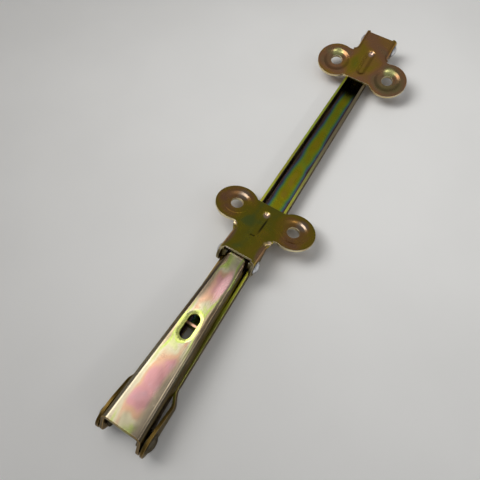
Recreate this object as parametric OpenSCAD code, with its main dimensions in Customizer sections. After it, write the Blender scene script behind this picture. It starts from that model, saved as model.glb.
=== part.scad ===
// Folding hood support: two pressed channel arms joined at an elbow, with a screw-on bracket at each free end.
// Shown folded shut, lying on the long arm's flat back. X runs from the elbow to the far end, Z is up.

/* [Sheet] */
// Thickness of both arms' sheet
arm_t = 1.5; // [1.2:0.1:1.8]
// Thickness of the brackets' sheet
bracket_t = 1.5; // [1.2:0.1:1.8]
// Outside bend radius of the arms
arm_bend = 3; // [2.4:0.1:3.6]
// Outside bend radius of the brackets' necks
neck_bend = 2.6; // [2.2:0.1:3.2]

/* [Long arm] */
// Elbow rivet to body bracket rivet
long_len = 280; // [240:1:320]
// Outside width of the long arm measured at the elbow rivet
long_w = 20.4; // [19.6:0.1:20.8]
// Outside width of the long arm at the body bracket rivet
long_far_w = 13.1; // [12:0.1:14]
// Height of the long arm's walls
long_h = 8.5; // [7.5:0.1:9.2]
// Height of the body bracket rivet above the back
far_z = 8.8; // [8.4:0.1:9.4]
// Radius of the rounded far end
far_end_r = 4.4; // [3.8:0.1:4.6]
// End of the long arm's back toward the elbow
tongue_x = 12; // [9:0.5:18]

/* [Elbow] */
// Height of the elbow rivets above the back
pivot_z = 9.5; // [9.2:0.1:10.5]
// Radius of the long arm's pivot ears
ear_r = 7; // [6.2:0.1:7.6]
// Where the long arm's walls start to flare into the ears
ear_start = 26; // [22:0.5:32]
// Length of the flare
jog_len = 9; // [6:0.5:12]
// Gap between the two arms' ears
ear_gap = 0.9; // [0.7:0.05:1.3]
// Elbow rivet shank diameter
elbow_pin_d = 6; // [5:0.1:6.6]
// Elbow rivet head diameter
elbow_head_d = 10; // [8.5:0.1:11]
// Elbow rivet head height
elbow_head_h = 2; // [1.4:0.1:2.4]
// Elbow washer diameter
washer_d = 11; // [9.6:0.1:12]

/* [Short arm] */
// Slope of the short arm when folded, in degrees
short_slope = 4; // [3.4:0.1:4.3]
// Elbow rivet to the top of the short arm's web
short_top = 12.9; // [12:0.1:13.4]
// Outside width of the short arm at the elbow rivet
short_w = 21.4; // [20.4:0.1:22]
// Outside width of the short arm at the hood bracket rivet
short_far_w = 13.3; // [12:0.1:13.4]
// Elbow rivet to hood bracket rivet, along the short arm
hood_x = 97; // [92:0.5:104]
// Hood bracket rivet below the top of the web
hood_drop = 4.2; // [4:0.1:4.6]
// Radius of the short arm's pivot ears
short_ear_r = 6.8; // [6:0.1:7.4]
// How far the web runs past the elbow rivet
web_over = 1; // [0:0.1:2]
// Lower edge of the short arm's walls above the long arm's walls
edge_gap = 0.8; // [0.5:0.1:1.2]

/* [Slot] */
// Middle of the slot along the short arm
slot_x = 52; // [46:0.5:60]
// Distance between the slot's end centres
slot_run = 7.4; // [5:0.1:9]
// Width of the slot
slot_w = 6; // [5:0.1:6.4]
// Width of the dished rim round the slot
slot_rim = 1.9; // [1.4:0.1:2]
// Depth of the dish
slot_dish = 0.3; // [0.2:0.1:0.8]

/* [Lanced tab] */
// Place of the upright tab in the long arm's back
tab_x = 54; // [50:0.5:58]
// Width of the tab
tab_w = 9; // [7:0.5:10]
// Height of the tab's top edge above the back
tab_top = 12; // [10:0.5:13]

/* [Brackets] */
// Distance between the two screw holes
hole_span = 36; // [33:0.5:40]
// Screw hole diameter
hole_d = 7; // [6:0.1:7.6]
// Rivet axis to the line of the screw holes
hole_reach = 27.5; // [26:0.5:30]
// Radius of each lobe
lobe_r = 12.3; // [11.5:0.1:13]
// Rivet axis to the straight edge between the lobes
plate_edge = 36; // [34:0.5:37.5]
// Rivet axis to the top of the plate
plate_top = 7; // [6.8:0.1:7.6]
// Outside width of the neck
neck_w = 21.3; // [21.2:0.1:22]
// Radius of the turned-down inside corners between neck and lobes
lobe_fillet = 3; // [2.6:0.1:3.8]
// Radius of the clevis ears
clevis_r = 5.6; // [5:0.1:6]
// Radius of the dish round each screw hole
dish_r = 8.8; // [8:0.1:9.2]
// Depth of the dish round each screw hole
dish_depth = 0.9; // [0.6:0.1:1.2]
// Length of the pressed-in bead between its end centres
bead_run = 14; // [10:0.5:16]
// Width of the pressed-in bead
bead_w = 6.8; // [5.6:0.1:7.6]
// Depth of the pressed-in bead
bead_h = 1.1; // [0.7:0.1:1.4]
// Gap between a folded bracket and the long arm's walls
rest_gap = 0.15; // [0.1:0.05:0.3]

/* [Bracket rivets] */
// Shank diameter
pin_d = 4; // [3.4:0.1:4.2]
// Head diameter
head_d = 7.6; // [6.6:0.1:8.4]
// Head height
head_h = 1.8; // [1.2:0.1:2.2]
// Diameter of the hood bracket's spacer sleeves
hood_sleeve_d = 5.4; // [5:0.1:5.6]
// Diameter of the body bracket's spacer sleeves
body_sleeve_d = 8; // [6.4:0.1:8.6]

/* [Fits] */
// Radial play of a rivet in the piece that turns on it
turn_fit = 0.06; // [0.03:0.01:0.09]
// Side play between pieces on a rivet
side_fit = 0.15; // [0.1:0.05:0.25]

/* [Hidden] */
$fn = 40;
plated = [0.72, 0.62, 0.34];
bare = [0.76, 0.76, 0.78];
long_taper = atan((long_w - long_far_w) / 2 / long_len);
short_taper = atan((short_w - short_far_w) / 2 / hood_x);
function long_half(x) = long_w / 2 - x * tan(long_taper);
function short_half(x) = short_w / 2 - x * tan(short_taper);
function ease(u) = u * u * (3 - 2 * u);
function mix(a, b, u) = a + (b - a) * u;
ear_in = short_half(-washer_d / 2) + ear_gap;
ear_out = ear_in + arm_t;
// The ears start this far inside the faces of the long arm's walls
root_in = 0.04;
short_inner = short_half(short_ear_r) - arm_t / cos(short_taper);
hood_z = short_top - hood_drop;
hood_px = hood_x * cos(short_slope) + hood_z * sin(short_slope);
hood_pz = pivot_z - hood_x * sin(short_slope) + hood_z * cos(short_slope);
edge_rise = long_h + edge_gap - pivot_z;
function edge_z(x) = edge_rise / cos(short_slope) + x * tan(short_slope);
wall_max = far_z + far_end_r + 1;
plate_low = plate_top - bracket_t;
lean = atan(plate_low / plate_edge);
reach = sqrt(plate_low * plate_low + plate_edge * plate_edge);
hood_tilt = lean + asin((hood_pz - long_h - rest_gap) / reach);
body_tilt = lean + asin((far_z - long_h - rest_gap) / reach);
neck_in = neck_w / 2 - bracket_t;
neck_flat = neck_w / 2 - neck_bend;
corner_r = lobe_fillet + neck_bend;
corner_y = neck_w / 2 + lobe_fillet;
corner_gap = hole_span / 2 - corner_y;
corner_reach = lobe_r + corner_r - 0.05;
corner_x = hole_reach - sqrt(corner_reach * corner_reach - corner_gap * corner_gap);
corner_end_x = mix(corner_x, hole_reach, corner_r / corner_reach);
corner_end_y = mix(corner_y, hole_span / 2, corner_r / corner_reach);
skirt_z = plate_top - neck_bend - 1;
skirt_climb = atan((plate_top - skirt_z) / (2 * lobe_fillet + 0.4) * sqrt(2));
// Shape of the dish and of the bead, as shares of their radius and depth from the middle out
dish_shape = [[0.36, 0.86], [0.5, 0.95], [0.6, 1], [0.68, 0.97], [0.75, 0.85], [0.81, 0.64], [0.87, 0.36],
    [0.93, 0.12], [1, -0.02]];
dish_flat = 0.6;
bead_shape = [[0.16, 1], [0.28, 0.96], [0.4, 0.84], [0.52, 0.64], [0.64, 0.4], [0.76, 0.19], [0.88, 0.05], [1, 0]];
bead_mid = 21.5;
mid_x = (long_len + clevis_r - ear_r) / 2;

// Sets the middle of the folded stay over the origin
module placed() {
    translate([-mid_x, 0, 0])
        children();
}

// Half of a channel's section: outer wall face at zero, web along the bottom
module half_section(w, h, t, r) {
    translate([-t, r])
        square([t, h - r]);
    translate([-w, 0])
        square([w - r, t]);
    intersection() {
        difference() {
            translate([-r, r])
                circle(r = r);
            translate([-r, r])
                circle(r = r - t);
        }
        translate([-r, 0])
            square([r, r]);
    }
}

// Left side of a channel whose width changes along its length
module channel_side(half_w, taper, x0, x1, h, t, r) {
    intersection() {
        translate([0, half_w, 0])
            rotate([0, 0, -taper])
                translate([x0 - 20, 0, 0])
                    rotate([90, 0, 90])
                        linear_extrude(x1 - x0 + 40)
                            half_section(half_w + 10, h, t, r);
        translate([x0, -1, -1])
            cube([x1 - x0, half_w + 20, h + 2]);
    }
}

module channel(half_w, taper, x0, x1, h, t, r) {
    channel_side(half_w, taper, x0, x1, h, t, r);
    mirror([0, 1, 0])
        channel_side(half_w, taper, x0, x1, h, t, r);
}

// A side view carried across the whole width
module across(w) {
    rotate([90, 0, 0])
        linear_extrude(w, center = true)
            children();
}

// A round bar along Y from y0 to y1
module bar(r, y0, y1) {
    translate([0, y1, 0])
        rotate([90, 0, 0])
            cylinder(r = r, h = y1 - y0);
}

// A domed rivet head whose flat side is at y0
module dome(r, y0, h) {
    ball = (r * r + h * h) / (2 * h);
    intersection() {
        translate([0, y0 + h - ball, 0])
            sphere(r = ball, $fn = 56);
        bar(r, y0, y0 + h + 1);
    }
}

module long_outline() {
    square([long_len - 3, long_h]);
    translate([long_len, far_z])
        circle(r = far_end_r);
    polygon([
        [long_len - 16, 2],
        [long_len - 3, 2],
        [long_len + far_end_r * 0.7, far_z - far_end_r * 0.7],
        [long_len, far_z + far_end_r],
        [long_len - 3, far_z + far_end_r - 0.4],
        [long_len - 12, long_h]
    ]);
}

// The flare and pivot ear on the left, seen from above; its root lies just inside the wall
module ear_band() {
    steps = 8;
    root = [[ear_start + 3, long_half(ear_start + 3) - root_in], [ear_start, long_half(ear_start) - root_in]];
    flare = [for (i = [1:steps]) [ear_start - jog_len * i / steps,
        mix(long_half(ear_start), ear_out, ease(i / steps))]];
    outer = concat(flare, [[-ear_r - 1, ear_out]]);
    inner = [for (i = [len(outer) - 1:-1:0]) outer[i] - [0, arm_t]];
    root_inner = [for (i = [1:-1:0]) root[i] - [0, arm_t - 2 * root_in]];
    polygon(concat(root, outer, inner, root_inner));
}

// The same ear seen from the side
module ear_outline() {
    steps = 8;
    top = [for (i = [0:steps]) [mix(2, ear_start, i / steps), mix(pivot_z + ear_r, long_h - root_in, ease(i / steps))]];
    translate([0, pivot_z])
        circle(r = ear_r, $fn = 56);
    polygon(concat([[0, pivot_z - ear_r], [0, pivot_z + ear_r]], top,
        [[ear_start + 3, long_h - root_in], [ear_start + 3, arm_bend], [ear_start - 4, arm_bend]]));
}

module long_ear() {
    intersection() {
        linear_extrude(pivot_z + ear_r + 2)
            ear_band();
        across(60)
            ear_outline();
    }
}

module long_arm() {
    placed()
        color(plated)
            difference() {
                union() {
                    intersection() {
                        channel(long_w / 2, long_taper, ear_start, long_len + 8, wall_max, arm_t, arm_bend);
                        across(60)
                            long_outline();
                    }
                    translate([tongue_x, arm_bend - long_half(ear_start), 0])
                        cube([ear_start + 2 - tongue_x, 2 * (long_half(ear_start) - arm_bend), arm_t]);
                    long_ear();
                    mirror([0, 1, 0])
                        long_ear();
                    translate([tab_x, -tab_w / 2, 0])
                        cube([arm_t, tab_w, tab_top]);
                }
                translate([tab_x - tab_top, -tab_w / 2, -1])
                    cube([tab_top, tab_w, arm_t + 2]);
                translate([0, 0, pivot_z])
                    bar(elbow_pin_d / 2, -30, 30);
                translate([long_len, 0, far_z])
                    bar(pin_d / 2, -30, 30);
            }
}

// The short arm is drawn level round the elbow rivet, then laid at its slope
module on_short() {
    translate([0, 0, pivot_z])
        rotate([0, short_slope, 0])
            children();
}

module short_outline() {
    circle(r = short_ear_r, $fn = 56);
    translate([hood_x, hood_z])
        circle(r = hood_drop);
    polygon([
        [-web_over, short_top],
        [hood_x, short_top],
        [hood_x, hood_z - hood_drop],
        [hood_x - 3, hood_z - hood_drop + 0.3],
        [hood_x - 10, edge_z(hood_x - 10)],
        [13, edge_z(13)],
        [9, edge_z(9) - 1.2],
        [short_ear_r * 0.64, -short_ear_r * 0.77],
        [0, -short_ear_r],
        [-short_ear_r * 0.8, short_ear_r * 0.6],
        [-web_over - 2, short_top - 4]
    ]);
}

// A sloped obround ring cut or filled between two heights
module obround(r_top, r_low, z_top, z_low) {
    for (side = [-1, 1])
        translate([slot_x + side * slot_run / 2, 0, z_low])
            cylinder(r1 = r_low, r2 = r_top, h = z_top - z_low);
    translate([slot_x - slot_run / 2, 0, 0])
        rotate([90, 0, 90])
            linear_extrude(slot_run)
                polygon([[-r_low, z_low], [r_low, z_low], [r_top, z_top], [-r_top, z_top]]);
}

module short_arm() {
    rim = slot_w / 2 + slot_rim;
    placed()
        color(plated)
            on_short()
                difference() {
                    union() {
                        intersection() {
                            translate([0, 0, short_top])
                                mirror([0, 0, 1])
                                    channel(short_w / 2, short_taper, -short_ear_r - 1, hood_x + hood_drop + 1,
                                        short_top + short_ear_r + 2, arm_t, arm_bend);
                            across(60)
                                short_outline();
                        }
                        obround(rim + 0.4, slot_w / 2 + 1.1, short_top - 0.4, short_top - slot_dish - arm_t);
                    }
                    obround(rim + slot_rim * 0.1, slot_w / 2, short_top + slot_dish * 0.1, short_top - slot_dish);
                    obround(slot_w / 2, slot_w / 2, short_top - slot_dish + 0.01, short_top - 8);
                    bar(elbow_pin_d / 2 + turn_fit, -30, 30);
                    translate([hood_x, 0, hood_z])
                        bar(pin_d / 2, -30, 30);
                }
}

// Side view of the clevis ears and the skirt that joins them to the plate
module neck_outline() {
    circle(r = clevis_r);
    polygon([
        [-2.6, plate_top],
        [corner_x, plate_top],
        [corner_x, skirt_z],
        [clevis_r * 0.6, -clevis_r * 0.8],
        [-clevis_r * 0.6, clevis_r * 0.8]
    ]);
}

// Plan of the flat of the plate, up to where its edges turn down
module plate_plan() {
    for (side = [-1, 1])
        translate([hole_reach, side * hole_span / 2])
            circle(r = lobe_r, $fn = 72);
    translate([-1.5, -neck_flat])
        square([plate_edge + 1.5, 2 * neck_flat]);
    translate([hole_reach, -neck_w / 2])
        square([plate_edge - hole_reach, neck_w]);
    for (side = [0, 1])
        mirror([0, side])
            difference() {
                polygon([[corner_x, neck_flat - 1], [hole_reach, neck_flat - 1], [hole_reach, hole_span / 2],
                    [corner_end_x, corner_end_y], [corner_x, corner_y]]);
                translate([corner_x, corner_y])
                    circle(r = corner_r);
            }
}

// The turned-down edge round the inside corner on the left, which fades out on the lobe
module skirt_corner() {
    intersection() {
        translate([corner_x, corner_y, 0])
            rotate_extrude()
                intersection() {
                    union() {
                        translate([lobe_fillet, 0])
                            square([bracket_t, plate_top - neck_bend]);
                        difference() {
                            translate([corner_r, plate_top - neck_bend])
                                circle(r = neck_bend);
                            translate([corner_r, plate_top - neck_bend])
                                circle(r = neck_bend - bracket_t);
                            square([corner_r + 9, plate_top - neck_bend]);
                        }
                    }
                    square([corner_r, plate_top + 1]);
                }
        linear_extrude(plate_top + 2)
            polygon([[corner_x, corner_y], [corner_x, 0], [corner_end_x + 2, 0],
                [corner_end_x, corner_end_y - 0.5]]);
        translate([corner_x, neck_w / 2, skirt_z])
            rotate([0, 0, 45])
                rotate([0, -skirt_climb, 0])
                    translate([-30, -30, 0])
                        cube([60, 60, 30]);
    }
}

// Half section of what a dish adds under the plate, flat below its middle
module dish_fill() {
    polygon(concat([[0, plate_low + 0.3], [0, plate_low - dish_depth]],
        [for (p = dish_shape) [p[0] * dish_r, plate_low - dish_depth * (p[0] < dish_flat ? 1 : p[1])]],
        [[dish_r, plate_low + 0.3]]));
}

// Half section of what a dish takes from the top of the plate
module dish_cut() {
    polygon(concat([[0, plate_top + 1], [0, plate_top - dish_depth * dish_shape[0][1]]],
        [for (p = dish_shape) [p[0] * dish_r, plate_top - dish_depth * p[1]]],
        [[dish_r * 1.07, plate_top + 0.1], [dish_r * 1.07, plate_top + 1]]));
}

// A section turned round one of the screw holes
module at_hole(side) {
    translate([hole_reach, side * hole_span / 2, 0])
        rotate_extrude()
            children();
}

// Half section of the bead, from a height down to a face that is pressed in
module bead_section(base, face) {
    polygon(concat([[0, base], [0, face - bead_h]],
        [for (p = bead_shape) [p[0] * bead_w / 2, face - bead_h * p[1]]],
        [[bead_w / 2, base]]));
}

module bead(base, face) {
    for (end = [-1, 1])
        translate([bead_mid + end * bead_run / 2, 0, 0])
            rotate_extrude()
                bead_section(base, face);
    translate([bead_mid - bead_run / 2, 0, 0])
        rotate([90, 0, 90])
            linear_extrude(bead_run) {
                bead_section(base, face);
                mirror([1, 0])
                    bead_section(base, face);
            }
}

// One bracket round its rivet axis, plate level and pointing along +X
module bracket() {
    difference() {
        union() {
            translate([0, 0, plate_low])
                linear_extrude(bracket_t)
                    plate_plan();
            difference() {
                intersection() {
                    translate([0, 0, plate_top])
                        mirror([0, 0, 1])
                            channel(neck_w / 2, 0, -clevis_r - 1, corner_x, plate_top + clevis_r + 1,
                                bracket_t, neck_bend);
                    across(60)
                        neck_outline();
                }
                translate([-11.5, -neck_flat, plate_low - 0.5])
                    cube([10, 2 * neck_flat, 4]);
            }
            for (side = [0, 1])
                mirror([0, side, 0])
                    skirt_corner();
            at_hole(-1)
                dish_fill();
            at_hole(1)
                dish_fill();
            bead(plate_low + 0.3, plate_low);
        }
        bead(plate_top + 3, plate_top);
        at_hole(-1)
            dish_cut();
        at_hole(1)
            dish_cut();
        for (side = [-1, 1])
            translate([hole_reach, side * hole_span / 2, plate_low - 3])
                cylinder(r = hole_d / 2, h = 12);
        bar(pin_d / 2 + turn_fit, -30, 30);
    }
}

module hood_bracket() {
    placed()
        color(plated)
            translate([hood_px, 0, hood_pz])
                rotate([0, hood_tilt, 0])
                    bracket();
}

module body_bracket() {
    placed()
        color(plated)
            translate([long_len, 0, far_z])
                rotate([0, -body_tilt, 0])
                    rotate([0, 0, 180])
                        bracket();
}

// An elbow rivet on the left: head outside, shank, and the spread end inside the short arm's ear
module elbow_rivet() {
    color(bare)
        translate([0, 0, pivot_z]) {
            dome(elbow_head_d / 2, ear_out, elbow_head_h);
            bar(elbow_pin_d / 2, short_inner - side_fit - 1.2, ear_out + 0.2);
            bar(elbow_pin_d / 2 + 1.2, short_inner - side_fit - 1.2, short_inner - side_fit);
        }
}

module elbow_rivet_left() {
    placed()
        elbow_rivet();
}

module elbow_rivet_right() {
    placed()
        mirror([0, 1, 0])
            elbow_rivet();
}

// A washer filling the gap between the two arms' ears
module elbow_washer() {
    color(bare)
        translate([0, 0, pivot_z])
            difference() {
                bar(washer_d / 2, ear_in - ear_gap + side_fit, ear_in);
                bar(elbow_pin_d / 2 + turn_fit, 0, 30);
            }
}

module elbow_washer_left() {
    placed()
        elbow_washer();
}

module elbow_washer_right() {
    placed()
        mirror([0, 1, 0])
            elbow_washer();
}

// A bracket rivet on the left, through the clevis ear and the arm's wall; its spread end stops at the arm's fold
module bracket_rivet(wall_in, fold_z) {
    color(bare) {
        dome(head_d / 2, neck_w / 2 + side_fit, head_h);
        bar(pin_d / 2, wall_in - 1.1, neck_w / 2 + side_fit + 0.2);
        intersection() {
            bar(pin_d / 2 + 0.6, wall_in - 1.1, wall_in);
            translate([-10, 0, fold_z - 20])
                cube([20, 30, 20]);
        }
    }
}

// A sleeve that keeps a clevis ear off the arm's wall
module sleeve(d, wall_out) {
    color(bare)
        difference() {
            bar(d / 2, wall_out, neck_in - side_fit);
            bar(pin_d / 2, 0, 30);
        }
}

module at_hood() {
    translate([hood_px - mid_x, 0, hood_pz])
        children();
}

module at_body() {
    translate([long_len - mid_x, 0, far_z])
        children();
}

module hood_rivet() {
    bracket_rivet(short_half(hood_x + 3) - arm_t / cos(short_taper), hood_drop - arm_bend - 0.3);
}

module hood_rivet_left() {
    at_hood()
        hood_rivet();
}

module hood_rivet_right() {
    at_hood()
        mirror([0, 1, 0])
            hood_rivet();
}

module hood_sleeve_left() {
    at_hood()
        sleeve(hood_sleeve_d, short_half(hood_x - 3));
}

module hood_sleeve_right() {
    at_hood()
        mirror([0, 1, 0])
            sleeve(hood_sleeve_d, short_half(hood_x - 3));
}

module body_rivet() {
    bracket_rivet(long_half(long_len + 3) - arm_t / cos(long_taper), pin_d);
}

module body_rivet_left() {
    at_body()
        body_rivet();
}

module body_rivet_right() {
    at_body()
        mirror([0, 1, 0])
            body_rivet();
}

module body_sleeve_left() {
    at_body()
        sleeve(body_sleeve_d, long_half(long_len - 4));
}

module body_sleeve_right() {
    at_body()
        mirror([0, 1, 0])
            sleeve(body_sleeve_d, long_half(long_len - 4));
}

long_arm();
short_arm();
hood_bracket();
body_bracket();
elbow_rivet_left();
elbow_rivet_right();
elbow_washer_left();
elbow_washer_right();
hood_rivet_left();
hood_rivet_right();
hood_sleeve_left();
hood_sleeve_right();
body_rivet_left();
body_rivet_right();
body_sleeve_left();
body_sleeve_right();
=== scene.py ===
import math

import bmesh
import bpy
from mathutils import Matrix, Vector
from mathutils.bvhtree import BVHTree


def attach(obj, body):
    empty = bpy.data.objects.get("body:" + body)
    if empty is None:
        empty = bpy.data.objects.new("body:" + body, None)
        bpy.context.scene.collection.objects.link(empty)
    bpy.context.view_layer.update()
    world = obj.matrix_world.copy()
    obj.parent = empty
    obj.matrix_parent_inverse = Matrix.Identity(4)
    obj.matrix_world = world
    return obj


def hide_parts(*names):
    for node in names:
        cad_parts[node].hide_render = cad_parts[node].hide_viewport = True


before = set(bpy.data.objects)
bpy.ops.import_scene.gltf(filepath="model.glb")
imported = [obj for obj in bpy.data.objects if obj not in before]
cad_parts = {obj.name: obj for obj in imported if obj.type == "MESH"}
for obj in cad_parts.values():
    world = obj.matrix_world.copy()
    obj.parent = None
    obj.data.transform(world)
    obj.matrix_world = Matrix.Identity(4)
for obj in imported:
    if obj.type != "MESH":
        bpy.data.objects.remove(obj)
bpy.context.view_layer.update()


# Long arm: the main stay, one strip of 1.5 mm steel pressed into a shallow
# tapering channel with two flared ears for the elbow rivets.
# It is zinc plated and yellow passivated after pressing, so every face is tinted.
ELBOW_X = -0.1393
ELBOW_Z = 0.0095
LONG_HALF = 0.0102
LONG_NARROWING = 0.01304
SHEET_LIMIT = 0.0023
SHEET_ARRIS = 0.00016
SHEET_EVENING = 80
WELD = 2e-6
PROBE_STEP = 1e-5
FLAT = math.radians(0.4)
SHARP = math.radians(32.0)
CREASE = math.radians(50.0)
SKIN, CUT, RUBBED = 0, 1, 2


def solid_copy(node):
    """A merged copy of a solid's loose triangles."""
    form = bmesh.new()
    form.from_mesh(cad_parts[node].data)
    bmesh.ops.remove_doubles(form, verts=form.verts, dist=WELD)
    return form


def break_arrises(form, width, keep_apart):
    """Flat faces are made whole and every sharp edge is bevelled; gives the bevels' faces."""
    bmesh.ops.dissolve_limit(form, angle_limit=FLAT, use_dissolve_boundaries=False,
                             verts=form.verts, edges=form.edges, delimit=keep_apart)
    sharp = [edge for edge in form.edges if edge.is_manifold and edge.calc_face_angle() > SHARP]
    broken = bmesh.ops.bevel(form, geom=sharp, offset=width, offset_type="OFFSET", affect="EDGES",
                             segments=2, profile=0.5, clamp_overlap=False, material=-1)
    return broken["faces"]


def lay_down(form, name, finishes, evening):
    """The finished form as an object at the origin, with its broad faces shaded evenly."""
    mesh = bpy.data.meshes.new(name)
    form.to_mesh(mesh)
    form.free()
    for finish in finishes:
        mesh.materials.append(finish)
    piece = bpy.data.objects.new(name, mesh)
    bpy.context.scene.collection.objects.link(piece)
    even = piece.modifiers.new("even_faces", "WEIGHTED_NORMAL")
    even.keep_sharp = True
    even.weight = evening
    return piece


def pressed_sheet(node, name, body, finishes):
    """The solid's own sheet with broken arrises.

    A face with more steel behind it than the sheet is thick is a sheared edge.
    finishes are for the sheet's faces, its sheared edges and its rubbed arrises."""
    form = solid_copy(node)
    inside = BVHTree.FromBMesh(form)
    for face in form.faces:
        start = face.calc_center_median() - face.normal * PROBE_STEP
        depth = inside.ray_cast(start, -face.normal)[3]
        face.material_index = CUT if depth is not None and depth > SHEET_LIMIT else SKIN
    for face in break_arrises(form, SHEET_ARRIS, {"MATERIAL"}):
        face.material_index = RUBBED
    for corner in form.verts:
        corner.co.z = max(corner.co.z, 0.0)
    for face in form.faces:
        face.smooth = True
    for edge in form.edges:
        edge.smooth = not edge.is_manifold or edge.calc_face_angle() < CREASE
    piece = lay_down(form, name, finishes, SHEET_EVENING)
    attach(piece, body)
    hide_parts(node)


def put(tree, socket, value):
    """Joins a socket to another node's socket, or sets its value."""
    if isinstance(value, bpy.types.NodeSocket):
        tree.links.new(value, socket)
    else:
        socket.default_value = value


def wire(tree, kind, **sockets):
    """A node with its named sockets filled; an underscore stands for a space."""
    made = tree.nodes.new(kind)
    for name, value in sockets.items():
        put(tree, made.inputs[name.replace("_", " ")], value)
    return made


def math_step(tree, operation, *values, clamp=False):
    made = tree.nodes.new("ShaderNodeMath")
    made.operation = operation
    made.use_clamp = clamp
    for socket, value in zip(made.inputs, values):
        put(tree, socket, value)
    return made.outputs[0]


def fade(tree, value, start, end, low=0.0, high=1.0, eased=True):
    """low where the value is at start, going over to high at end."""
    made = wire(tree, "ShaderNodeMapRange", Value=value, From_Min=start, From_Max=end,
                To_Min=low, To_Max=high)
    made.interpolation_type = "SMOOTHSTEP" if eased else "LINEAR"
    return made.outputs[0]


def ramp(tree, factor, stops):
    made = tree.nodes.new("ShaderNodeValToRGB")
    made.color_ramp.interpolation = "EASE"
    elements = made.color_ramp.elements
    while len(elements) < len(stops):
        elements.new(0.5)
    for element, (place, colour) in zip(elements, stops):
        element.position = place
        element.color = (*colour, 1.0)
    tree.links.new(factor, made.inputs[0])
    return made.outputs[0]


def noise(tree, vector, scale, detail=2.0, roughness=0.5, distortion=0.0):
    made = wire(tree, "ShaderNodeTexNoise", Vector=vector, Scale=scale, Detail=detail,
                Roughness=roughness, Distortion=distortion)
    return made.outputs["Fac"]


def blend_colours(tree, factor, first, second, how="MIX"):
    """Mixes on the node's colour sockets, which are inputs 6 and 7 and output 2."""
    made = tree.nodes.new("ShaderNodeMix")
    made.data_type = "RGBA"
    made.blend_type = how
    for key, value in ((0, factor), (6, first), (7, second)):
        put(tree, made.inputs[key], value)
    return made.outputs[2]


def new_finish(name):
    material = bpy.data.materials.new(name)
    material.use_nodes = True
    tree = material.node_tree
    tree.nodes.clear()
    out = tree.nodes.new("ShaderNodeOutputMaterial")
    skin = tree.nodes.new("ShaderNodeBsdfPrincipled")
    tree.links.new(skin.outputs[0], out.inputs[0])
    place = tree.nodes.new("ShaderNodeTexCoord").outputs["Object"]
    return material, tree, skin, place


def metal(tree, skin, tint, roughness, bump):
    skin.inputs["Metallic"].default_value = 1.0
    tree.links.new(tint, skin.inputs["Base Color"])
    tree.links.new(roughness, skin.inputs["Roughness"])
    tree.links.new(bump.outputs[0], skin.inputs["Normal"])


def near_spot(tree, place, centre, inner, outer, squeeze=1.0):
    """1 within inner of a point, fading to 0 at outer.

    squeeze below 1 draws the spot out along the stay, or along each axis when it is a row of three."""
    stretch = squeeze if isinstance(squeeze, tuple) else (squeeze, 1.0, 1.0)
    local = wire(tree, "ShaderNodeMapping", Vector=place, Scale=stretch,
                 Location=[-c * s for c, s in zip(centre, stretch)]).outputs[0]
    away = tree.nodes.new("ShaderNodeVectorMath")
    away.operation = "LENGTH"
    tree.links.new(local, away.inputs[0])
    return fade(tree, away.outputs["Value"], outer, inner)


def washed(tree, place, tint, washes):
    """Local tints over a finish; each wash is (centre, inner, outer, squeeze, tint)."""
    for *spot, colour in washes:
        tint = blend_colours(tree, near_spot(tree, place, *spot), tint, (*colour, 1.0))
    return tint


# The film's own figures: scales are in waves per metre, depths are shares.
BROAD_PATCH = 13.0
ROLLING = (38.0, 1500.0, 1500.0)
ROLLED_TINT = (0.74, 0.68, 0.52, 1.0)
ROLLED_DEPTH = 0.44
GRAIN, GRAIN_DEPTH = 1100.0, 0.35
SMUDGE = 85.0
SPECK, SPECK_RIM, SPECK_HEART = 330.0, 0.10, 0.05
SPECK_RARITY = 0.86
SPECK_TINT = (0.10, 0.08, 0.04, 1.0)
SPECK_DEPTH = 0.40
COAT, COAT_LOST_OUTSIDE = 0.22, 0.18


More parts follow.
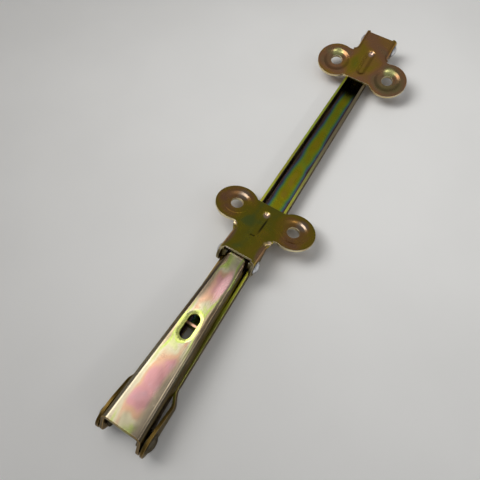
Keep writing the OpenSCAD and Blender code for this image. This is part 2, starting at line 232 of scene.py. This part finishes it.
def chromate_skin(name, film, across, shift, drift, spots=(), wander=(0.62, 0.5), patch=46.0,
                  gloss=0.22, walls=None, washes=()):
    """Yellow passivated zinc: a thin film whose tint wanders in patches and changes towards the folds.

    film is the row of tints along the film's value, which starts from drift.
    across is the half width at x = 0, its narrowing per metre, and where the change towards the
    folds starts and ends, as shares of the half width; shift is the size of that change.
    spots are (centre, inner, outer, squeeze, change); wander is the size of small and broad patches.
    walls are the two tints of the outer faces and the shares between which they come in.
    washes are local tints laid over the film: the film's own colour in some places, painted shade and
    painted highlights in others."""
    material, tree, skin, place = new_finish(name)
    half_width, narrowing, change_from, change_to = across
    axes = wire(tree, "ShaderNodeSeparateXYZ", Vector=place)
    half = math_step(tree, "MULTIPLY_ADD", axes.outputs["X"], -narrowing, half_width)
    share = math_step(tree, "DIVIDE", math_step(tree, "ABSOLUTE", axes.outputs["Y"]), half)
    fold = fade(tree, share, change_from, change_to)

    patches = noise(tree, place, patch, detail=2.0, roughness=0.45, distortion=0.7)
    broad = noise(tree, place, BROAD_PATCH, detail=1.0, roughness=0.5, distortion=0.3)
    value = math_step(tree, "MULTIPLY_ADD", patches, wander[0], drift - 0.5 * (wander[0] + wander[1]))
    value = math_step(tree, "ADD", value, math_step(tree, "MULTIPLY", broad, wander[1]))
    value = math_step(tree, "ADD", value, math_step(tree, "MULTIPLY", fold, shift))
    for *spot, change in spots:
        ring = near_spot(tree, place, *spot)
        value = math_step(tree, "ADD", value, math_step(tree, "MULTIPLY", ring, change))
    tint = ramp(tree, math_step(tree, "ADD", value, 0.0, clamp=True), film)
    tint = washed(tree, place, tint, washes)
    skin.inputs["Coat Weight"].default_value = COAT
    if walls:
        wall_dark, wall_light, wall_from, wall_to = walls
        outside = fade(tree, share, wall_from, wall_to)
        wall_tint = ramp(tree, patches, ((0.35, wall_dark), (0.65, wall_light)))
        tint = blend_colours(tree, outside, tint, wall_tint)
        coat = math_step(tree, "MULTIPLY_ADD", outside, -COAT_LOST_OUTSIDE, COAT)
        tree.links.new(coat, skin.inputs["Coat Weight"])

    rolled = wire(tree, "ShaderNodeMapping", Vector=place, Scale=ROLLING).outputs[0]
    streaks = noise(tree, rolled, 1.0, detail=3.0, roughness=0.6)
    grain = noise(tree, place, GRAIN, detail=2.0, roughness=0.6)
    smudges = noise(tree, place, SMUDGE, detail=4.0, roughness=0.62, distortion=1.2)
    streak_depth = math_step(tree, "MULTIPLY", streaks, ROLLED_DEPTH)
    tint = blend_colours(tree, streak_depth, tint, ROLLED_TINT, "MULTIPLY")
    specks = wire(tree, "ShaderNodeTexVoronoi", Vector=place, Scale=SPECK)
    draw = wire(tree, "ShaderNodeSeparateColor", Color=specks.outputs["Color"]).outputs[0]
    picked = math_step(tree, "GREATER_THAN", draw, SPECK_RARITY)
    dot = fade(tree, specks.outputs["Distance"], SPECK_RIM, SPECK_HEART, eased=False)
    speck = math_step(tree, "MULTIPLY", dot, picked)
    tint = blend_colours(tree, math_step(tree, "MULTIPLY", speck, SPECK_DEPTH), tint, SPECK_TINT)

    dull = fade(tree, smudges, 0.35, 0.75, gloss - 0.05, gloss + 0.10, eased=False)
    roughness = math_step(tree, "MULTIPLY_ADD", streaks, 0.08, dull)
    relief = math_step(tree, "MULTIPLY_ADD", grain, GRAIN_DEPTH, streaks)
    bump = wire(tree, "ShaderNodeBump", Strength=0.09, Distance=0.00003, Height=relief)
    skin.inputs["Specular Tint"].default_value = (0.50, 0.42, 0.30, 1.0)
    skin.inputs["Coat Roughness"].default_value = 0.16
    skin.inputs["Coat IOR"].default_value = 1.5
    metal(tree, skin, tint, roughness, bump)
    return material


# The sheared edges are browner round the elbow and along the left wall beside it,
# and paler along the right wall near its far end.
ELBOW_END = ((ELBOW_X, 0.0, ELBOW_Z), 0.022, 0.036)
LEFT_RUN = ((-0.092, 0.0095, 0.0085), 0.009, 0.012, 0.2)
RIGHT_RUN = ((0.13, -0.0085, 0.0075), 0.008, 0.014, 0.10)
DRAG = (2200.0, 2200.0, 160.0)


def edge_finish(name, plain, elbow_pair, gloss, patch, bump_strength, washes=()):
    """Sheared or rubbed steel under the plating, with the tool's drag lines.

    plain is a dark and a light tint, and so is the pair given for the edges round the elbow and along
    the left wall beside it."""
    material, tree, skin, place = new_finish(name)
    patches = noise(tree, place, patch, detail=3.0, roughness=0.55, distortion=0.5)
    away_tint, elbow_tint = [ramp(tree, patches, ((0.34, dark), (0.66, light)))
                             for dark, light in (plain, elbow_pair)]
    elbow = near_spot(tree, place, *ELBOW_END)
    left_run = near_spot(tree, place, *LEFT_RUN)
    tint = blend_colours(tree, math_step(tree, "MAXIMUM", elbow, left_run), away_tint, elbow_tint)
    tint = washed(tree, place, tint, washes)
    dragged = wire(tree, "ShaderNodeMapping", Vector=place, Scale=DRAG).outputs[0]
    drag = noise(tree, dragged, 1.0, detail=2.0)
    roughness = math_step(tree, "MULTIPLY_ADD", drag, 0.22, gloss)
    bump = wire(tree, "ShaderNodeBump", Strength=bump_strength, Distance=0.00004, Height=drag)
    metal(tree, skin, tint, roughness, bump)
    return material


LONG_FILM = (
    (0.00, (0.52, 0.325, 0.039)), (0.14, (0.455, 0.403, 0.007)),
    (0.28, (0.351, 0.468, 0.026)), (0.42, (0.156, 0.39, 0.156)),
    (0.52, (0.117, 0.26, 0.338)), (0.61, (0.165, 0.135, 0.225)),
    (0.70, (0.115, 0.072, 0.055)), (0.80, (0.115, 0.082, 0.050)),
    (0.90, (0.494, 0.377, 0.26)), (1.00, (0.598, 0.468, 0.325)))
LONG_PAINTED_SHADOW = (
    # Painted shadow: dark at the trough's far end, where the body bracket shades it.
    ((0.109, 0.0, 0.0015), 0.008, 0.019, 1.0, (0.03, 0.035, 0.006)),)
CUT_WASHES = (
    (*RIGHT_RUN, (0.39, 0.325, 0.195)),
    # Painted shade: dark olive on the right wall's top beside the short arm, where the short arm's
    # wall overhangs it.
    ((-0.098, -0.0094, 0.0085), 0.0020, 0.0045, 0.10, (0.17, 0.18, 0.03)),
    # Rose on the tab under the slot.
    ((-0.0846, 0.0, 0.0118), 0.0050, 0.0060, 1.0, (0.85, 0.52, 0.36)))
long_skin = chromate_skin(
    "long_arm_yellow_passivate", LONG_FILM,
    across=(LONG_HALF + ELBOW_X * LONG_NARROWING, LONG_NARROWING, 0.10, 1.0),
    shift=0.82, drift=0.17, wander=(0.52, 0.46),
    walls=((0.18, 0.145, 0.085), (0.27, 0.23, 0.14), 0.93, 0.985), washes=LONG_PAINTED_SHADOW)
cut_edge = edge_finish(
    "sheared_sheet_edge", plain=((0.598, 0.546, 0.065), (0.702, 0.858, 0.091)),
    elbow_pair=((0.075, 0.05, 0.013), (0.21, 0.13, 0.03)),
    gloss=0.24, patch=34.0, bump_strength=0.18, washes=CUT_WASHES)
rubbed_edge = edge_finish(
    "rubbed_arris", plain=((0.52, 0.442, 0.13), (0.676, 0.715, 0.234)),
    elbow_pair=((0.338, 0.221, 0.065), (0.598, 0.39, 0.13)),
    gloss=0.22, patch=60.0, bump_strength=0.08, washes=((*RIGHT_RUN, (0.468, 0.377, 0.247)),))
pressed_sheet("long_arm", "long_arm_sheet", "long_arm", (long_skin, cut_edge, rubbed_edge))


# Short arm: a shorter channel that folds down over the long arm and is riveted
# to its ears; a dished slot is pressed through its back.
# Same plated steel, a paler film with rose and yellow-green patches.
SHORT_HALF = 0.0107
SHORT_NARROWING = 0.0418
SLOT_AT = (-0.08653, 0.0, 0.01874)
SLOT_SQUEEZE = 0.55
SHORT_FILM = (
    (0.00, (0.468, 0.286, 0.325)), (0.16, (0.533, 0.273, 0.286)),
    (0.32, (0.559, 0.351, 0.234)), (0.46, (0.546, 0.507, 0.351)),
    (0.60, (0.429, 0.533, 0.13)), (0.72, (0.416, 0.351, 0.208)),
    (0.84, (0.286, 0.208, 0.13)), (1.00, (0.26, 0.195, 0.117)))
SHORT_SPOTS = (
    # The film thickens into the slot's dish, at the elbow and towards the narrow end; at the slot's
    # rim and the elbow end the paler tint is partly a painted highlight.
    (SLOT_AT, 0.0044, 0.0058, SLOT_SQUEEZE, 0.24),
    (SLOT_AT, 0.006, 0.012, SLOT_SQUEEZE, 0.18),
    ((ELBOW_X, 0.0, 0.0224), 0.004, 0.015, 1.0, 0.28),
    ((-0.047, 0.0, 0.0158), 0.002, 0.014, 1.0, 0.34))
SHORT_WASHES = (
    # Brown along the right fold and the left fold.
    ((-0.120, -0.0074, 0.0212), 0.0015, 0.0052, 0.10, (0.33, 0.275, 0.20)),
    ((-0.118, 0.0080, 0.0212), 0.0014, 0.0040, 0.07, (0.48, 0.43, 0.32)),
    # Dark brown and rose side by side between the slot and the hood bracket.
    ((-0.065, 0.0060, 0.0172), 0.0014, 0.0046, 0.22, (0.21, 0.165, 0.12)),
    ((-0.061, -0.0030, 0.0169), 0.0008, 0.0034, 0.25, (0.92, 0.55, 0.58)),
    # Pale yellow-green at the elbow end and on the slot's rim: partly the film's tint, partly a
    # painted highlight.
    ((-0.146, 0.001, 0.0226), 0.0010, 0.0080, 0.9, (0.66, 0.68, 0.30)),
    (SLOT_AT, 0.0040, 0.0055, SLOT_SQUEEZE, (0.70, 0.78, 0.22)))
short_skin = chromate_skin(
    "short_arm_yellow_passivate", SHORT_FILM,
    across=(SHORT_HALF + ELBOW_X * SHORT_NARROWING, SHORT_NARROWING, 0.34, 0.92),
    shift=0.56, drift=0.20, spots=SHORT_SPOTS, wander=(0.66, 0.42), patch=74.0, gloss=0.17,
    walls=((0.10, 0.078, 0.045), (0.16, 0.13, 0.08), 0.86, 0.96), washes=SHORT_WASHES)
pressed_sheet("short_arm", "short_arm_sheet", "short_arm", (short_skin, cut_edge, rubbed_edge))


# Hood bracket and body bracket: the same pressing twice, a two-lobed screw plate
# with dished holes, a stiffening bead and a narrow neck folded into a clevis.
# Plated like the arms, with a darker brown film that turns red on the lobes.
HOOD_HOLE_AT = (-0.01376, 0.018, 0.01115)
BODY_HOLE_AT = (0.11258, 0.018, 0.01056)
LOBE_INNER, LOBE_OUTER, LOBE_CHANGE = 0.0085, 0.0135, 0.26
BRACKET_FILM = (
    (0.00, (0.221, 0.273, 0.052)), (0.20, (0.351, 0.299, 0.019)),
    (0.40, (0.442, 0.299, 0.026)), (0.56, (0.481, 0.26, 0.065)),
    (0.70, (0.442, 0.221, 0.104)), (0.84, (0.377, 0.234, 0.117)),
    (1.00, (0.312, 0.247, 0.104)))
BRACKET_CUT = ((0.598, 0.468, 0.234), (0.806, 0.728, 0.442))
BRACKET_RUBBED = ((0.65, 0.52, 0.312), (0.858, 0.754, 0.546))
BRACKET_CUT_WASHES = (
    # Painted highlight: a pale line along the hood bracket's neck end; its clevis sides are darker.
    ((-0.0421, 0.0, 0.0178), 0.0070, 0.0085, 1.0, (1.0, 0.93, 0.82)),
    ((-0.0435, 0.0095, 0.0115), 0.0040, 0.0060, 1.0, (0.22, 0.18, 0.09)),
    ((-0.0435, -0.0095, 0.0115), 0.0040, 0.0060, 1.0, (0.22, 0.18, 0.09)))
HOOD_SPOTS = [((-0.02, 0.010, 0.0130), 0.002, 0.009, 1.0, -0.16)]
BODY_SPOTS = [((0.1135, 0.0090, 0.0115), 0.002, 0.009, 1.0, -0.34)]
HOOD_SHADE_AND_HIGHLIGHT_TINTS = (
    # A pale rose tint at the bead's far end, where the lamp's highlight falls, partly a painted
    # highlight; painted shade: dark lines along the bead's side and round its near end.
    ((-0.01203, -0.0003, 0.01060), 0.0010, 0.0026, 1.0, (0.70, 0.50, 0.38)),
    ((-0.0197, -0.0022, 0.0131), 0.0003, 0.0009, (0.105, 1.0, 0.105), (0.05, 0.045, 0.008)),
    ((-0.0279, -0.0004, 0.0146), 0.0002, 0.0009, (1.0, 0.40, 0.4), (0.08, 0.075, 0.012)),
    # Pale brown on the far side of the left dish and the right dish, where the lamp's highlights fall:
    # partly painted highlights.
    ((-0.0068, 0.0176, 0.0099), 0.0016, 0.0046, 1.0, (0.42, 0.32, 0.24)),
    ((-0.0075, -0.0204, 0.0100), 0.0016, 0.0046, 1.0, (0.42, 0.32, 0.24)),
    # Brown along the neck's two folds, partly a painted reflection of the folds' sheen.
    ((-0.0355, 0.0098, 0.0163), 0.0010, 0.0030, (0.3, 1.0, 0.5), (0.44, 0.26, 0.14)),
    ((-0.0355, -0.0098, 0.0163), 0.0010, 0.0030, (0.3, 1.0, 0.5), (0.44, 0.26, 0.14)),
    # Painted highlights: pale spots at the neck's drawn corners.
    ((-0.0265, 0.0114, 0.0148), 0.0005, 0.0016, 1.0, (0.88, 0.68, 0.42)),
    ((-0.0275, -0.0106, 0.0149), 0.0005, 0.0017, 1.0, (0.95, 0.74, 0.55)),
    ((-0.0292, -0.0092, 0.0155), 0.0005, 0.0016, 1.0, (1.0, 0.76, 0.36)))
BODY_HIGHLIGHT_TINTS = (
    # Pale rose at the bead's far end and pale olive on the sides of the left and right dishes, where
    # the lamp's highlights fall: partly painted highlights.
    ((0.12626, -0.0003, 0.01250), 0.0010, 0.0026, 1.0, (0.70, 0.50, 0.43)),
    ((0.1180, 0.0198, 0.0114), 0.0022, 0.0044, 1.0, (0.60, 0.60, 0.25)),
    ((0.1184, -0.0168, 0.0114), 0.0022, 0.0044, 1.0, (0.60, 0.60, 0.25)))
bracket_edge = edge_finish(
    "bracket_sheet_edge", BRACKET_CUT, BRACKET_CUT,
    gloss=0.24, patch=60.0, bump_strength=0.14, washes=BRACKET_CUT_WASHES)
bracket_arris = edge_finish(
    "bracket_rubbed_arris", BRACKET_RUBBED, BRACKET_RUBBED,
    gloss=0.22, patch=60.0, bump_strength=0.08)
for bracket, hole_at, film_start, bracket_spots, bracket_washes in (
        ("hood_bracket", HOOD_HOLE_AT, 0.26, HOOD_SPOTS, HOOD_SHADE_AND_HIGHLIGHT_TINTS),
        ("body_bracket", BODY_HOLE_AT, 0.46, BODY_SPOTS, BODY_HIGHLIGHT_TINTS)):
    hole_x, hole_y, hole_z = hole_at
    lobes = [((hole_x, side * hole_y, hole_z), LOBE_INNER, LOBE_OUTER, 1.0, LOBE_CHANGE)
             for side in (-1, 1)]
    bracket_skin = chromate_skin(
        bracket + "_brown_passivate", BRACKET_FILM, across=(0.030, 0.0, 0.30, 0.80),
        shift=0.06, drift=film_start, spots=lobes + bracket_spots, wander=(0.86, 0.50),
        patch=64.0, gloss=0.20, washes=bracket_washes)
    pressed_sheet(bracket, bracket + "_sheet", bracket, (bracket_skin, bracket_edge, bracket_arris))


# Rivets: headed steel pins, one on each side of every joint, upset in place.
# The bracket rivets are left bright; the elbow rivets are tinted dark, a painted shade for the shadow
# beside the elbow's ears; the domes keep the tool's rings.
RIVET_ARRIS = 0.00012
TURNED_EVENING = 50
RINGS, RING_WANDER = 900.0, 1.6
STAIN = 420.0
ELBOW_AT = (ELBOW_X, ELBOW_Z)
HOOD_AT = (-0.04193, 0.01141)
BODY_AT = (0.1407, 0.0088)
SHADED_ELBOW_STEEL = ((0.07, 0.06, 0.045), (0.16, 0.14, 0.10))
BRIGHT_STEEL = ((0.50, 0.51, 0.55), (0.82, 0.84, 0.88))


def turned_steel(name, axis_at, tints, gloss):
    """Steel with fine rings round an axis that runs across the stay; tints are dark and light."""
    material, tree, skin, place = new_finish(name)
    about = wire(tree, "ShaderNodeMapping", Vector=place,
                 Location=(-axis_at[0], 0.0, -axis_at[1])).outputs[0]
    axes = wire(tree, "ShaderNodeSeparateXYZ", Vector=about)
    flat = wire(tree, "ShaderNodeCombineXYZ", X=axes.outputs["X"], Z=axes.outputs["Z"]).outputs[0]
    rings = wire(tree, "ShaderNodeTexWave", Vector=flat, Scale=RINGS, Distortion=RING_WANDER)
    rings.wave_type = "RINGS"
    rings.rings_direction = "SPHERICAL"
    stain = noise(tree, place, STAIN, detail=4.0, roughness=0.6, distortion=0.4)
    tint = ramp(tree, stain, ((0.30, tints[0]), (0.70, tints[1])))
    roughness = math_step(tree, "MULTIPLY_ADD", stain, 0.22, gloss)
    bump = wire(tree, "ShaderNodeBump", Strength=0.14, Distance=0.00003, Height=rings.outputs["Fac"])
    skin.inputs["Specular Tint"].default_value = (0.50, 0.47, 0.42, 1.0)
    metal(tree, skin, tint, roughness, bump)
    return material


def turned_piece(node, name, body, steel):
    """The solid's own turned shape with its corners broken."""
    form = solid_copy(node)
    break_arrises(form, RIVET_ARRIS, set())
    for face in form.faces:
        face.material_index = 0
        face.smooth = True
    piece = lay_down(form, name, (steel,), TURNED_EVENING)
    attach(piece, body)
    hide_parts(node)


for joint, joint_at, joint_body, tints in (("elbow", ELBOW_AT, "long_arm", SHADED_ELBOW_STEEL),
                                           ("hood", HOOD_AT, "short_arm", BRIGHT_STEEL),
                                           ("body", BODY_AT, "long_arm", BRIGHT_STEEL)):
    rivet_steel = turned_steel(joint + "_rivet_steel", joint_at, tints, gloss=0.20)
    for side in ("left", "right"):
        rivet = f"{joint}_rivet_{side}"
        turned_piece(rivet, rivet + "_bright", joint_body, rivet_steel)


# Washers and spacer sleeves: stamped rings between the elbow ears and turned
# sleeves that hold the bracket clevises apart from the arms on their rivets.
# Dull yellow passivated zinc, tinted dark: partly painted shade where they sit between the ears and
# inside the clevises.
SHADED_SPACER_ZINC = ((0.20, 0.16, 0.07), (0.36, 0.31, 0.14))
for joint, kind, joint_at, joint_body in (("elbow", "washer", ELBOW_AT, "long_arm"),
                                          ("hood", "sleeve", HOOD_AT, "short_arm"),
                                          ("body", "sleeve", BODY_AT, "long_arm")):
    spacer_steel = turned_steel(f"{joint}_{kind}_zinc", joint_at, SHADED_SPACER_ZINC, gloss=0.32)
    for side in ("left", "right"):
        spacer = f"{joint}_{kind}_{side}"
        turned_piece(spacer, spacer + "_dull", joint_body, spacer_steel)


# Table: a plain pale board that the folded stay lies on.
# Satin paint with a faint mottle.
BOARD_REACH = 1.6
BOARD_MOTTLE = 9.0
BOARD_GREY, BOARD_WHITE = (0.86, 0.86, 0.84), (0.90, 0.90, 0.88)
board_form = bmesh.new()
bmesh.ops.create_grid(board_form, x_segments=2, y_segments=2, size=BOARD_REACH)
board_mesh = bpy.data.meshes.new("board")
board_form.to_mesh(board_mesh)
board_form.free()
board = bpy.data.objects.new("board", board_mesh)
bpy.context.scene.collection.objects.link(board)
board_paint, board_tree, board_skin, board_place = new_finish("pale_board_paint")
mottle = noise(board_tree, board_place, BOARD_MOTTLE, detail=3.0)
board_tint = ramp(board_tree, mottle, ((0.3, BOARD_GREY), (0.7, BOARD_WHITE)))
board_tree.links.new(board_tint, board_skin.inputs["Base Color"])
board_skin.inputs["Roughness"].default_value = 0.62
board_mesh.materials.append(board_paint)


# Light: one soft panel overhead that the short arm's back mirrors, a small one
# beside it for the dishes, a slim strip on the near side for the folds, a lamp
# from the left for the board alone, and a dim room that is brighter overhead.
WARM, SOFT, PLAIN = (1.0, 0.97, 0.93), (1.0, 0.98, 0.96), (1.0, 1.0, 1.0)
ROOM_FLOOR, ROOM_WALL, ROOM_TOP = (0.20, 0.20, 0.20), (0.185, 0.185, 0.19), (0.34, 0.34, 0.348)


def hang(lamp, place, target, power, colour, mirrored):
    lamp.energy = power
    lamp.color = colour
    aim = (Vector(target) - Vector(place)).to_track_quat("-Z", "Y")
    hung = bpy.data.objects.new(lamp.name, lamp)
    hung.matrix_world = Matrix.Translation(place) @ aim.to_matrix().to_4x4()
    hung.visible_camera = False
    hung.visible_glossy = mirrored
    bpy.context.scene.collection.objects.link(hung)


def soft_panel(name, place, target, size, power, colour):
    lamp = bpy.data.lights.new(name, "AREA")
    lamp.shape = "RECTANGLE"
    lamp.size, lamp.size_y = size
    hang(lamp, place, target, power, colour, mirrored=True)


soft_panel("overhead_panel", place=(-0.01, 0.305, 0.66), target=(-0.07, 0.0, 0.0),
           size=(0.42, 0.28), power=1.09, colour=WARM)
soft_panel("fold_strip", place=(0.0, -0.75, 0.62), target=(0.0, 0.0, 0.0),
           size=(1.2, 0.08), power=0.69, colour=SOFT)
soft_panel("side_panel", place=(0.0, -0.15, 0.66), target=(0.0, 0.0, 0.0),
           size=(0.14, 0.14), power=0.154, colour=SOFT)
board_lamp = bpy.data.lights.new("board_light", "SPOT")
board_lamp.spot_size = math.radians(62.0)
board_lamp.spot_blend = 1.0
board_lamp.shadow_soft_size = 0.16
hang(board_lamp, place=(-0.10, 0.32, 0.47), target=(0.18, -0.21, 0.0), power=8.0, colour=PLAIN,
     mirrored=False)
room = bpy.data.worlds.new("dim_room")
room.use_nodes = True
room_tree = room.node_tree
facing = room_tree.nodes.new("ShaderNodeTexCoord").outputs["Generated"]
height = wire(room_tree, "ShaderNodeSeparateXYZ", Vector=facing).outputs["Z"]
glow = ramp(room_tree, height, ((0.0, ROOM_FLOOR), (0.70, ROOM_WALL), (1.0, ROOM_TOP)))
room_tree.links.new(glow, room_tree.nodes["Background"].inputs["Color"])
bpy.context.scene.world = room


# Camera: close above the elbow end, looking down along the stay.
# Its three axes are written out as they were fitted to the screw holes and edges.
CAMERA_AT = (-0.11266, -0.04623, 0.22754)
CAMERA_RIGHT = (0.52075, -0.85367, -0.00792)
CAMERA_UP = (0.7834, 0.47416, 0.40181)
CAMERA_BACK = (-0.33925, -0.21545, 0.91569)
LENS_MM = 32.625
camera_data = bpy.data.cameras.new("camera")
camera_data.sensor_width = 36.0
camera_data.lens = LENS_MM
camera_data.clip_start = 0.005
camera = bpy.data.objects.new("camera", camera_data)
turn = Matrix((CAMERA_RIGHT, CAMERA_UP, CAMERA_BACK)).transposed().to_4x4()
camera.matrix_world = Matrix.Translation(CAMERA_AT) @ turn
bpy.context.scene.collection.objects.link(camera)
bpy.context.scene.camera = camera
bpy.context.scene.view_settings.view_transform = "Standard"
